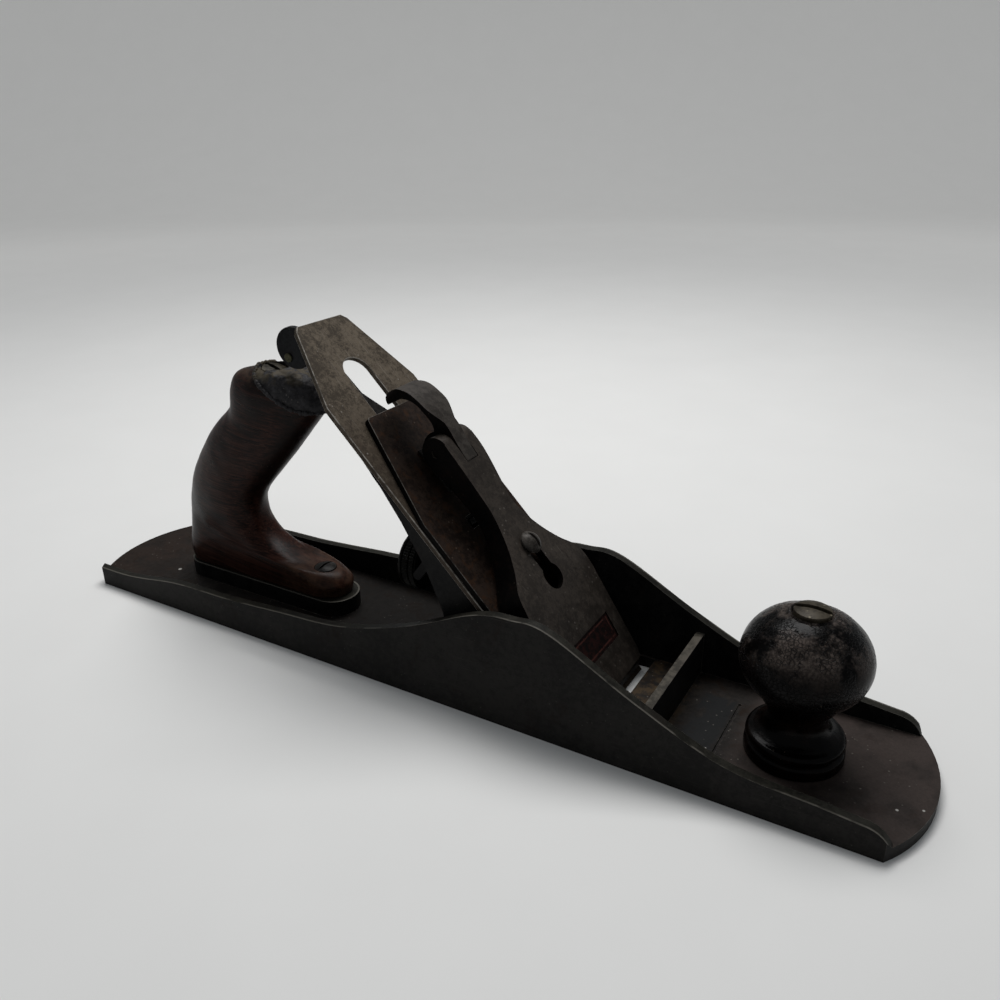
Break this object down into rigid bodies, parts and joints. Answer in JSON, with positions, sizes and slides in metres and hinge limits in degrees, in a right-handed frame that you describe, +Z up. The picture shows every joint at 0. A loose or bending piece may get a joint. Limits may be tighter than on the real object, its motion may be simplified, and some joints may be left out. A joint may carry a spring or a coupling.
{
  "type": "corrugated jack plane",
  "caption": "Metal bench plane with a grooved sole, a pitched iron, cap iron, lever cap, depth and side adjusters, a wooden handle and a round knob.",
  "frame": {"origin": "middle of the sole's underside, on the ground", "axes": "+X points along the sole to the toe and the knob, +Y to the left side of the plane, +Z up"},
  "size_m": [0.3556, 0.0622, 0.1258],
  "materials": {
    "cheek_iron": "aged brown-grey patina",
    "japanned_iron": "worn black japanning",
    "dark_steel": "dark patina",
    "brown_steel": "mottled brown patina",
    "rust_steel": "rusty brown patina",
    "cap_iron_casting": "tarnished plating",
    "brass": "dull",
    "rosewood": "old gloss varnish",
    "lacquered_wood": "crazed dark lacquer",
    "filler": "hand-moulded"
  },
  "bodies": {
    "plane_body": {"body": "cheek_iron", "frog_screws": "dark_steel", "frog_washers": "brown_steel", "tote": "rosewood", "horn_repair": "filler", "tote_rod": "dark_steel", "tote_nut": "brass", "tote_toe_screw": "dark_steel", "knob": "lacquered_wood", "knob_rod": "dark_steel", "knob_nut": "brass"},
    "frog": {"frog": "japanned_iron", "yoke_pin": "dark_steel", "lateral_rivet": "dark_steel", "lever_cap_screw": "brown_steel"},
    "stud": {"adjusting_stud": "dark_steel"},
    "wheel": {"depth_wheel": "dark_steel"},
    "yoke": {"yoke": "japanned_iron"},
    "lateral": {"lateral_lever": "dark_steel", "thumb_disc": "dark_steel", "thumb_rivet": "brass"},
    "roller": {"lateral_roller": "brown_steel"},
    "carriage": {"cap_iron_screw": "dark_steel"},
    "cutter": {"iron": "brown_steel", "cap_iron": "rust_steel"},
    "cap": {"lever_cap": "cap_iron_casting", "cam_pin": "dark_steel", "cam_spring": "dark_steel", "spring_rivet": "dark_steel"},
    "cam": {"cam_lever": "cap_iron_casting"}
  },
  "joints": [
    {"name": "frog_slide", "type": "slide", "parent": "plane_body", "child": "frog", "axis": [1, 0, 0], "range_m": [0, 0.002]},
    {"name": "wheel_spin", "type": "hinge", "parent": "frog", "child": "stud", "pos_m": [0, 0, 0.038], "axis": [1, 0, 0], "range_deg": [-1025, 855]},
    {"name": "wheel_travel", "type": "slide", "parent": "stud", "child": "wheel", "axis": [1, 0, 0], "range_m": [-0.00255, 0.00305]},
    {"name": "yoke_tilt", "type": "hinge", "parent": "frog", "child": "yoke", "pos_m": [0.00489, 0, 0.05268], "axis": [0, -1, 0], "range_deg": [-9.9, 11.85]},
    {"name": "iron_depth", "type": "slide", "parent": "frog", "child": "carriage", "axis": [-0.7071, 0, 0.7071], "range_m": [-0.00182, 0.00218]},
    {"name": "lateral_swing", "type": "hinge", "parent": "frog", "child": "lateral", "pos_m": [-0.01951, 0, 0.09051], "axis": [0.7071, 0, 0.7071], "range_deg": [-8, 2]},
    {"name": "roller_spin", "type": "hinge", "parent": "lateral", "child": "roller", "pos_m": [-0.00539, 0.00105, 0.07639], "axis": [0.7071, 0, 0.7071], "continuous": true},
    {"name": "iron_tilt", "type": "hinge", "parent": "carriage", "child": "cutter", "pos_m": [0.03989, 0, 0.03111], "axis": [0.7071, 0, 0.7071], "range_deg": [-0.65, 2.55]},
    {"name": "lever_cap_slide", "type": "slide", "parent": "frog", "child": "cap", "axis": [-0.7071, 0, 0.7071], "range_m": [0, 0.0135]},
    {"name": "cam_flip", "type": "hinge", "parent": "cap", "child": "cam", "pos_m": [0.00241, 0, 0.08697], "axis": [0, 1, 0], "range_deg": [0, 90]}
  ],
  "couplings": [
    {"joint": "wheel_spin", "follows": "iron_depth", "rad_per_m": -8143.3},
    {"joint": "wheel_travel", "follows": "iron_depth", "ratio": 1.3717},
    {"joint": "yoke_tilt", "follows": "iron_depth", "rad_per_m": 93.436},
    {"joint": "iron_tilt", "follows": "lateral_swing", "ratio": -0.3125}
  ]
}
